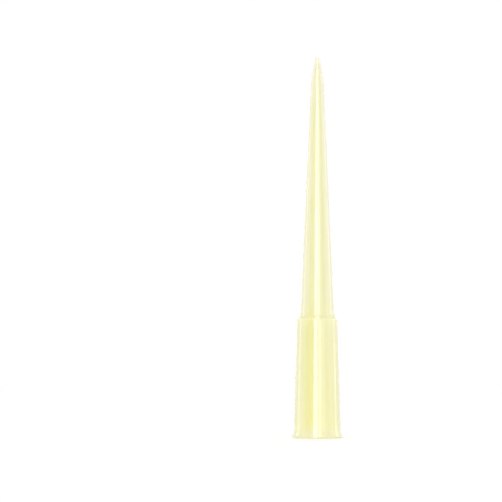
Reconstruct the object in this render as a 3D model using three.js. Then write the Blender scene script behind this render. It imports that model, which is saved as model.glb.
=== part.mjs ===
// A 200 microlitre pipette tip, moulded in one piece and open from end to end.
// Millimetres, +Z up. The tip stands on its mouth, point upwards: the origin is the middle of
// the rim of the mouth, and Z is the axis that the whole tip is turned about.
import * as THREE from 'three';

// Heights above the rim.
const tipLength = 51.0;
const lipBandHeight = 0.4;
const lipFlareHeight = 1.25;
const leadInDepth = 0.8;
const sealConeTop = 14.7;
const collarTop = 15.98;
const bodyFoot = 16.42;
const boreFoot = 16.6;
const noseFoot = 48.0;

// Outside diameters, from the rim to the point.
const lipDiameter = 6.77;
const collarFootDiameter = 6.25;
const collarTopDiameter = 5.49;
const bodyFootDiameter = 4.58;
const noseFootDiameter = 1.72;
const endDiameter = 0.64;

// Inside diameters, from the rim to the point.
const mouthDiameter = 5.9;
const sealConeFootDiameter = 5.5;
const sealConeTopDiameter = 4.64;
const boreFootDiameter = 3.6;
const orificeDiameter = 0.42;

const turnSegments = 64;
const roundingSteps = 2;

// The corners of the wall's section: radius, height, and how far the rounding of the corner
// runs along its two sides. They go up the outside of the tip and back down the inside.
const outsideCorners = [
  [lipDiameter / 2, 0, 0.08],
  [lipDiameter / 2, lipBandHeight, 0.2],
  [collarFootDiameter / 2, lipFlareHeight, 0.6],
  [collarTopDiameter / 2, collarTop, 0.14],
  [bodyFootDiameter / 2, bodyFoot, 0.45],
  [noseFootDiameter / 2, noseFoot, 0.7],
  [endDiameter / 2, tipLength, 0.06],
];
const insideCorners = [
  [orificeDiameter / 2, tipLength, 0.03],
  [boreFootDiameter / 2, boreFoot, 0.8],
  [sealConeTopDiameter / 2, sealConeTop, 0.8],
  [sealConeFootDiameter / 2, leadInDepth, 0.25],
  [mouthDiameter / 2, 0, 0.06],
];

// A closed outline through the corners, each one rounded by a curve between its two sides.
function roundedOutline(corners) {
  const places = corners.map(([radius, height]) => new THREE.Vector2(radius, height));
  const outline = corners.flatMap(([, , reach], i) => {
    const corner = places[i];
    const before = places.at(i - 1);
    const after = places[(i + 1) % places.length];
    const start = before.clone().sub(corner).setLength(reach).add(corner);
    const end = after.clone().sub(corner).setLength(reach).add(corner);
    return new THREE.QuadraticBezierCurve(start, corner, end).getPoints(roundingSteps);
  });
  return [...outline, outline[0].clone()];
}

// The one moulding: collar, lip, body and point are a single turned wall.
function makeTipBody() {
  const outline = roundedOutline([...outsideCorners, ...insideCorners]);
  const geometry = new THREE.LatheGeometry(outline, turnSegments);
  geometry.rotateX(Math.PI / 2);
  const polypropylene = new THREE.MeshStandardMaterial({
    color: 0xf6f1b4,
    roughness: 0.3,
    metalness: 0,
  });
  const tipBody = new THREE.Mesh(geometry, polypropylene);
  tipBody.name = 'tip_body';
  return tipBody;
}

const pipetteTip = new THREE.Group();
pipetteTip.name = 'pipette_tip';
pipetteTip.add(makeTipBody());

export default pipetteTip;
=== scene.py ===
"""A pipette tip in translucent yellow polypropylene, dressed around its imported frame.

Metres, +Z up. The tip stands on the rim of its mouth with its point up, and it is turned about Z.
"""

import math

import bpy
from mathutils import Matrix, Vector


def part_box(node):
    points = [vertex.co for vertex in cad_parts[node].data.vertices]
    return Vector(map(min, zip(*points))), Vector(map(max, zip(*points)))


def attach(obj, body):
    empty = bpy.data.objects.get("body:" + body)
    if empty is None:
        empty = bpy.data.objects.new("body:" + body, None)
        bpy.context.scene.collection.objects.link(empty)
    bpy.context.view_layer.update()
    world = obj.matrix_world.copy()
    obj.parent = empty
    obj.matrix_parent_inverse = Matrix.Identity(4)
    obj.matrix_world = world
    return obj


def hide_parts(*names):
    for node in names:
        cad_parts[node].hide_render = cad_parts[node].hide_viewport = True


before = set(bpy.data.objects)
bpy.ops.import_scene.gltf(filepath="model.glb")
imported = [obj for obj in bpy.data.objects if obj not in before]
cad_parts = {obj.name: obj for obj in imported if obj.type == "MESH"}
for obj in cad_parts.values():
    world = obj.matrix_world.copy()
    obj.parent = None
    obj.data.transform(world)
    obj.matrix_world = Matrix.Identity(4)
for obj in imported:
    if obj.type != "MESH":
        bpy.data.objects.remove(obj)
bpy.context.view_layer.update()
_, tip_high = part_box("tip_body")

MM = 0.001
WHITE = (1, 1, 1, 1)

# The section of the wall, as in the frame: heights above the rim, and radii.
TIP_LENGTH = tip_high.z
LIP_RADIUS = tip_high.x
LIP_BAND_HEIGHT = 0.4 * MM
LIP_FLARE_HEIGHT = 1.25 * MM
LEAD_IN_DEPTH = 0.8 * MM
SEAL_CONE_TOP = 14.7 * MM
COLLAR_TOP = 15.98 * MM
BODY_FOOT = 16.42 * MM
BORE_FOOT = 16.6 * MM
NOSE_FOOT = 48.0 * MM
COLLAR_FOOT_RADIUS = 3.125 * MM
COLLAR_TOP_RADIUS = 2.745 * MM
BODY_FOOT_RADIUS = 2.29 * MM
NOSE_FOOT_RADIUS = 0.86 * MM
END_RADIUS = 0.32 * MM
MOUTH_RADIUS = 2.95 * MM
SEAL_CONE_FOOT_RADIUS = 2.75 * MM
SEAL_CONE_TOP_RADIUS = 2.32 * MM
BORE_FOOT_RADIUS = 1.8 * MM
ORIFICE_RADIUS = 0.21 * MM

# How far the rounding of each corner runs along its two sides.
RIM_ROUNDING = 0.08 * MM
LIP_BAND_ROUNDING = 0.2 * MM
LIP_FLARE_ROUNDING = 0.6 * MM
COLLAR_TOP_ROUNDING = 0.14 * MM
BODY_FOOT_ROUNDING = 0.45 * MM
NOSE_FOOT_ROUNDING = 0.7 * MM
END_ROUNDING = 0.06 * MM
ORIFICE_ROUNDING = 0.03 * MM
BORE_FOOT_ROUNDING = 0.8 * MM
SEAL_CONE_TOP_ROUNDING = 0.8 * MM
SEAL_CONE_FOOT_ROUNDING = 0.25 * MM
MOUTH_ROUNDING = 0.06 * MM

# The corners of the section: radius, height and rounding, up the outside of the wall and back
# down its inside.
SECTION_CORNERS = [
    (LIP_RADIUS, 0, RIM_ROUNDING),
    (LIP_RADIUS, LIP_BAND_HEIGHT, LIP_BAND_ROUNDING),
    (COLLAR_FOOT_RADIUS, LIP_FLARE_HEIGHT, LIP_FLARE_ROUNDING),
    (COLLAR_TOP_RADIUS, COLLAR_TOP, COLLAR_TOP_ROUNDING),
    (BODY_FOOT_RADIUS, BODY_FOOT, BODY_FOOT_ROUNDING),
    (NOSE_FOOT_RADIUS, NOSE_FOOT, NOSE_FOOT_ROUNDING),
    (END_RADIUS, TIP_LENGTH, END_ROUNDING),
    (ORIFICE_RADIUS, TIP_LENGTH, ORIFICE_ROUNDING),
    (BORE_FOOT_RADIUS, BORE_FOOT, BORE_FOOT_ROUNDING),
    (SEAL_CONE_TOP_RADIUS, SEAL_CONE_TOP, SEAL_CONE_TOP_ROUNDING),
    (SEAL_CONE_FOOT_RADIUS, LEAD_IN_DEPTH, SEAL_CONE_FOOT_ROUNDING),
    (MOUTH_RADIUS, 0, MOUTH_ROUNDING),
]

# How finely the wall is made: steps around the axis, steps to each rounding, and about how far
# apart the rings on the straight stretches are.
TURN_SEGMENTS = 256
ROUNDING_STEPS = 8
RING_SPACING = 0.8 * MM


def placed(name, data):
    """A new object in the scene, made of the data."""
    thing = bpy.data.objects.new(name, data)
    bpy.context.scene.collection.objects.link(thing)
    return thing


def curve_round(start, corner, end):
    """Points on the curve that rounds a corner off, from start to end."""
    shares = [i / ROUNDING_STEPS for i in range(ROUNDING_STEPS + 1)]
    return [start * (1 - t) ** 2 + corner * 2 * t * (1 - t) + end * t**2 for t in shares]


def section_outline():
    """The closed outline of the wall's section: rounded corners, and rings along the straights."""
    places = [Vector((radius, height)) for radius, height, _ in SECTION_CORNERS]
    curves = []
    for i, (_, _, reach) in enumerate(SECTION_CORNERS):
        corner = places[i]
        start = corner + (places[i - 1] - corner).normalized() * reach
        end = corner + (places[(i + 1) % len(places)] - corner).normalized() * reach
        curves.append(curve_round(start, corner, end))
    outline = []
    for i, curve in enumerate(curves):
        outline += curve
        start, end = curve[-1], curves[(i + 1) % len(curves)][0]
        rings = int((end - start).length / RING_SPACING)
        outline += [start.lerp(end, k / (rings + 1)) for k in range(1, rings + 1)]
    return outline


def turned_shell(name, outline):
    """A closed mesh made by turning an outline about Z, with its faces pointing out."""
    count = len(outline)
    vertices = []
    for step in range(TURN_SEGMENTS):
        angle = 2 * math.pi * step / TURN_SEGMENTS
        vertices += [(p.x * math.cos(angle), p.x * math.sin(angle), p.y) for p in outline]
    faces = []
    for step in range(TURN_SEGMENTS):
        here, there = step * count, (step + 1) % TURN_SEGMENTS * count
        for k in range(count):
            after = (k + 1) % count
            faces.append((here + k, there + k, there + after, here + after))
    mesh = bpy.data.meshes.new(name)
    mesh.from_pydata(vertices, [], faces)
    mesh.polygons.foreach_set("use_smooth", [True] * len(faces))
    return placed(name, mesh)


# A Mix node has sockets for each kind of value. These are the places of those for colours.
FIRST_COLOUR = 6
SECOND_COLOUR = 7
MIXED_COLOUR = 2


class NodeMaker:
    """Adds nodes to a material or the world and joins them up."""

    def __init__(self, owner):
        owner.use_nodes = True
        self.nodes = owner.node_tree.nodes
        self.links = owner.node_tree.links

    def put(self, value, socket):
        """Sets a socket to a value, or joins an output to it."""
        if isinstance(value, bpy.types.NodeSocket):
            self.links.new(value, socket)
        else:
            socket.default_value = value

    def fill(self, node, values):
        """Puts values in a node's sockets by name."""
        for name, value in values.items():
            self.put(value, node.inputs[name])

    def add(self, kind, *values, **settings):
        """A new node, with its first sockets filled in order."""
        node = self.nodes.new("ShaderNode" + kind)
        for setting, value in settings.items():
            setattr(node, setting, value)
        for value, socket in zip(values, node.inputs):
            self.put(value, socket)
        return node

    def math(self, operation, *values):
        return self.add("Math", *values, operation=operation).outputs["Value"]

    def vector(self, operation, *values):
        """A vector worked out from vectors."""
        return self.add("VectorMath", *values, operation=operation).outputs["Vector"]

    def measure(self, operation, *values):
        """A number worked out from vectors, such as a length."""
        return self.add("VectorMath", *values, operation=operation).outputs["Value"]

    def smooth_step(self, value, low, high, start=0.0, end=1.0):
        """Runs smoothly from start to end as the value goes from low to high."""
        step = self.add("MapRange", value, low, high, start, end, interpolation_type="SMOOTHSTEP")
        return step.outputs["Result"]

    def noise(self, place, scale, detail):
        node = self.add("TexNoise")
        self.fill(node, {"Vector": place, "Scale": scale, "Detail": detail})
        return node.outputs["Fac"]

    def tinted(self, colour, tint, share):
        """The colour times a share of the tint."""
        mix = self.add("Mix", share, data_type="RGBA", blend_type="MULTIPLY")
        self.put(colour, mix.inputs[FIRST_COLOUR])
        self.put(tint, mix.inputs[SECOND_COLOUR])
        return mix.outputs[MIXED_COLOUR]

    def mixed_shaders(self, share, shader, other):
        """A surface that is a share of the other shader, and the first one for the rest."""
        return self.add("MixShader", share, shader, other).outputs["Shader"]


# What is the same all over the plastic: it is milky, and its face is smooth.
FINISH = {
    "IOR": 1.49,
    "Subsurface Weight": 1.0,
    "Subsurface Radius": (1, 1, 1),
    "Subsurface Scale": 0.5 * MM,
    "Coat Weight": 1.0,
    "Coat IOR": 2.0,
    "Coat Roughness": 0.1,
}
# The plastic's yellow at shares of the tip's height. Part of it is painted light and shade: it is
# deeper in the collar and paler in the thin nose, as the light through the wall leaves them, and a
# little darker at the lip, against the light that comes in there from below.
YELLOWS = [
    (0.015, (0.83, 0.802, 0.48, 1)),
    (0.035, (0.863, 0.835, 0.458, 1)),
    (0.26, (0.863, 0.835, 0.458, 1)),
    (0.37, (0.865, 0.84, 0.542, 1)),
    (0.6, (0.86, 0.836, 0.549, 1)),
    (0.86, (0.85, 0.826, 0.571, 1)),
    (0.97, (0.843, 0.816, 0.634, 1)),
    (0.99, (0.915, 0.886, 0.693, 1)),
]
# Painted shade: bands of deeper yellow up the wall. They stand in for the deeper bands that the
# light through the wall leaves on either side of the highlight.
# The columns are bearing and half width in degrees, tint, and how strong each band is in the collar
# and in the body.
PAINTED_SHADE_BANDS = [
    (-21, 17, (1.0, 0.99, 0.72, 1), 1.0, 0.7),
    (17, 17, (0.94, 0.95, 0.79, 1), 0.0, 1.0),
]
# The shares of the height between which the painted shade bands set in, above the rim, and those
# between which they turn from their strength in the collar to that in the body.
PAINTED_SHADE_SET_IN = (0.01, 0.04)
PAINTED_SHADE_TURN = (0.27, 0.37)
# Soft clouds of slightly deeper yellow.
CLOUD_TINT = (0.985, 0.975, 0.9, 1)
# The wall's inside is a little paler than its outside, because light comes through to it.
INSIDE_TINT = (1.09, 1.08, 1.2, 1)

# The melt runs up the wall, so what varies in it is drawn out that way. The clouds go by the
# outward direction and by the height times CLOUD_RISE. The gloss and the sinks go by the place
# in millimetres, with its height times DRAW_OUT.
CLOUD_RISE = 40
DRAW_OUT = 0.12
# The noises, as scale and detail. The grain goes by the place in metres.
CLOUDS = (2.2, 3.0)
GLOSS = (0.9, 3.0)
SINKS = (0.35, 1.0)
GRAIN = (6 / MM, 2.0)
# The values of the noise between which a cloud sets in and the gloss changes, and the
# roughness before and after that change.
CLOUD_LIMITS = (0.35, 0.7)
GLOSS_LIMITS = (0.3, 0.7)
ROUGHNESS = (0.3, 0.42)
# How deep the sinks are, and the grain's share of that depth.
SINK_DEPTH = 0.012 * MM
GRAIN_SHARE = 0.02


def yellow_up_the_height(make, height):
    node = make.add("ValToRGB", height)
    ramp = node.color_ramp.elements
    for share, colour in YELLOWS:
        ramp.new(share).color = colour
    # The black and the white that a new ramp has at its ends go.
    ramp.remove(ramp[0])
    ramp.remove(ramp[-1])
    return node.outputs["Color"]


# Painted shade: tints the colour a deeper yellow in bands at fixed bearings round the wall.
def with_painted_shade(make, colour, height, outward):
    for bearing, half_width, tint, in_collar, in_body in PAINTED_SHADE_BANDS:
        turn = math.radians(bearing)
        toward = (math.sin(turn), -math.cos(turn), 0)
        facing = make.measure("DOT_PRODUCT", outward, toward)
        across = make.smooth_step(facing, math.cos(math.radians(half_width)), 1.0)
        shade_band = make.math("MULTIPLY", across, make.smooth_step(height, *PAINTED_SHADE_SET_IN))
        strength = make.smooth_step(height, *PAINTED_SHADE_TURN, in_collar, in_body)
        colour = make.tinted(colour, tint, make.math("MULTIPLY", shade_band, strength))
    return colour


def clouded(make, colour, place, outward):
    rise = make.vector("MULTIPLY", place, (0, 0, CLOUD_RISE))
    clouds = make.noise(make.vector("ADD", outward, rise), *CLOUDS)
    return make.tinted(colour, CLOUD_TINT, make.smooth_step(clouds, *CLOUD_LIMITS))


def paler_inside(make, colour, normal, outward):
    """The colour, with the tint of the inside where the wall's face looks at the axis."""
    # This is 1 where the face looks outward, 0 on the flat rim, and -1 where it looks at the axis.
    turned_out = make.measure("DOT_PRODUCT", normal, outward)
    return make.tinted(colour, INSIDE_TINT, make.smooth_step(turned_out, 0.0, -1.0))


def sinks_and_grain(make, place, along):
    """The normals of faint waves along the wall, with a fine grain on them."""
    grain = make.math("MULTIPLY", make.noise(place, *GRAIN), GRAIN_SHARE)
    relief = make.math("ADD", make.noise(along, *SINKS), grain)
    bump = make.add("Bump")
    make.fill(bump, {"Distance": SINK_DEPTH, "Height": relief})
    return bump.outputs["Normal"]


def polypropylene():
    """Milky yellow plastic: light goes a little way into the wall, and its smooth face gleams."""
    material = bpy.data.materials.new("milky_polypropylene")
    make = NodeMaker(material)
    coordinates = make.add("TexCoord").outputs
    place = coordinates["Object"]
    height = make.math("DIVIDE", make.add("SeparateXYZ", place).outputs["Z"], TIP_LENGTH)
    outward = make.vector("NORMALIZE", make.vector("MULTIPLY", place, (1, 1, 0)))
    along = make.vector("MULTIPLY", place, (1 / MM, 1 / MM, DRAW_OUT / MM))

    colour = yellow_up_the_height(make, height)
    # Painted shade: deeper yellow bands up the wall, on either side of where the highlight falls.
    colour = with_painted_shade(make, colour, height, outward)
    colour = clouded(make, colour, place, outward)
    colour = paler_inside(make, colour, coordinates["Normal"], outward)
    roughness = make.smooth_step(make.noise(along, *GLOSS), *GLOSS_LIMITS, *ROUGHNESS)
    relief = sinks_and_grain(make, place, along)

    shader = make.nodes["Principled BSDF"]
    make.fill(shader, FINISH)
    make.fill(shader, {"Base Color": colour, "Roughness": roughness})
    make.fill(shader, {"Normal": relief, "Coat Normal": relief})
    return material


def make_tip():
    tip = turned_shell("tip_shell", section_outline())
    tip.data.materials.append(polypropylene())
    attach(tip, "root")
    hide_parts("tip_body")


# The camera is level and far off. It looks past the tip's left side, so that the tip stands
# right of the middle of the frame.
FRAME_WIDTH = 67.22 * MM
CAMERA_DISTANCE = 840 * MM
AIM_HEIGHT = 25.07 * MM
AIM_SIDE = -8.88 * MM


def make_camera():
    data = bpy.data.cameras.new("camera")
    camera = placed("camera", data)
    data.lens = data.sensor_width * CAMERA_DISTANCE / FRAME_WIDTH
    camera.location = (AIM_SIDE, -CAMERA_DISTANCE, AIM_HEIGHT)
    camera.rotation_euler = (math.pi / 2, 0, 0)
    bpy.context.scene.camera = camera


# The upright panels stand around the tip at this distance, with their feet at this height.
PANEL_DISTANCE = 0.6
PANEL_FOOT = -0.1
# How high they reach: the higher ones light the shoulder and the lip's flare too.
LOW = 0.32
HIGH = 0.47
TALL = 0.65
# Bearing from the camera's side and spread, in degrees, then reach and radiance.
PANELS = {
    "front": (2, 44, TALL, 0.42),
    "key": (-10, 17, HIGH, 2.2),
    "second": (12, 11, HIGH, 1.25),
    "soft": (31, 18, LOW, 0.4),
    "fill": (45, 46, LOW, 0.06),
    "left": (-90, 50, LOW, 0.26),
    "left_rim": (-110, 14, LOW, 0.75),
    "right": (90, 50, LOW, 0.26),
    "right_rim": (107, 14, LOW, 0.75),
    "back_left": (-140, 40, LOW, 0.15),
    "back_right": (140, 40, LOW, 0.12),
    "back": (180, 16, LOW, 3.4),
}
# A level panel hangs over the tip.
TOP_PANEL_WIDTH = 0.15
TOP_PANEL_LENGTH = 1.2
TOP_PANEL_HEIGHT = 0.65
TOP_PANEL_RADIANCE = 1.15


def panel(name, width, length, radiance):
    """A flat soft light that looks along its own -Z."""
    data = bpy.data.lights.new(name, "AREA")
    data.shape = "RECTANGLE"
    data.size = width
    data.size_y = length
    # The power at which a panel of this size has that radiance.
    data.energy = radiance * math.pi * width * length
    return placed(name, data)


def upright_panel(name, bearing, spread, top, radiance):
    width = 2 * PANEL_DISTANCE * math.tan(math.radians(spread / 2))
    light = panel(name, width, top - PANEL_FOOT, radiance)
    turn = math.radians(bearing)
    middle = (top + PANEL_FOOT) / 2
    light.location = (PANEL_DISTANCE * math.sin(turn), -PANEL_DISTANCE * math.cos(turn), middle)
    light.rotation_euler = (math.pi / 2, 0, turn)


def make_lights():
    for name, settings in PANELS.items():
        upright_panel(name, *settings)
    top = panel("top", TOP_PANEL_WIDTH, TOP_PANEL_LENGTH, TOP_PANEL_RADIANCE)
    top.location = (0, 0, TOP_PANEL_HEIGHT)


def seen_directly(make):
    """A factor that is 1 for what the camera sees, in a mirror or through glass too, and else 0."""
    path = make.add("LightPath").outputs
    seen = make.math("MAXIMUM", path["Is Camera Ray"], path["Is Glossy Ray"])
    return make.math("MAXIMUM", seen, path["Is Transmission Ray"])


# The level of the studio's light, and the level at which it is seen as white.
WORLD_LEVEL = 0.75
WHITE_LEVEL = 1.0


def make_world():
    """An even pale studio all round, and plain white where it is seen."""
    world = bpy.data.worlds.new("studio")
    bpy.context.scene.world = world
    # It is even, so it needs no map of where its light comes from.
    world.cycles.sampling_method = "NONE"
    make = NodeMaker(world)
    lit = make.add("Background", WHITE, WORLD_LEVEL).outputs["Background"]
    seen = make.add("Background", WHITE, WHITE_LEVEL).outputs["Background"]
    studio = make.mixed_shaders(seen_directly(make), lit, seen)
    make.put(studio, make.nodes["World Output"].inputs["Surface"])


FLOOR_SIZE = 6.0
FLOOR_COLOUR = (0.8, 0.8, 0.8, 1)
# How much the floor is lifted towards white where it is seen.
FLOOR_LIFT = 0.22
# The distances from the tip between which the floor turns plain white.
WHITE_FROM = 0.06
WHITE_AT = 0.3


def pale_floor():
    """Matt and pale. It holds the tip's shadow, and it turns plain white further off.

    It is clear from below, and open under the tip, so that light gets to the mouth.
    """
    material = bpy.data.materials.new("pale_floor")
    make = NodeMaker(material)
    seen = seen_directly(make)
    distance = make.measure("LENGTH", make.add("TexCoord").outputs["Object"])
    shader = make.nodes["Principled BSDF"]
    make.fill(shader, {"Base Color": FLOOR_COLOUR, "Roughness": 1.0, "Specular IOR Level": 0.0})
    lift = make.math("MULTIPLY", seen, FLOOR_LIFT)
    make.fill(shader, {"Emission Color": WHITE, "Emission Strength": lift})

    white = make.add("Emission", WHITE, WHITE_LEVEL).outputs["Emission"]
    away = make.math("MULTIPLY", seen, make.smooth_step(distance, WHITE_FROM, WHITE_AT))
    surface = make.mixed_shaders(away, shader.outputs["BSDF"], white)

    under_tip = make.math("LESS_THAN", distance, LIP_RADIUS)
    clear = make.math("MAXIMUM", make.add("NewGeometry").outputs["Backfacing"], under_tip)
    surface = make.mixed_shaders(clear, surface, make.add("BsdfTransparent").outputs["BSDF"])
    make.put(surface, make.nodes["Material Output"].inputs["Surface"])
    return material


def make_floor():
    mesh = bpy.data.meshes.new("floor")
    half = FLOOR_SIZE / 2
    corners = [(-half, -half, 0), (half, -half, 0), (half, half, 0), (-half, half, 0)]
    mesh.from_pydata(corners, [], [(0, 1, 2, 3)])
    mesh.materials.append(pale_floor())
    placed("floor", mesh)


bpy.context.scene.view_settings.view_transform = "Standard"
make_tip()
make_camera()
make_lights()
make_world()
make_floor()
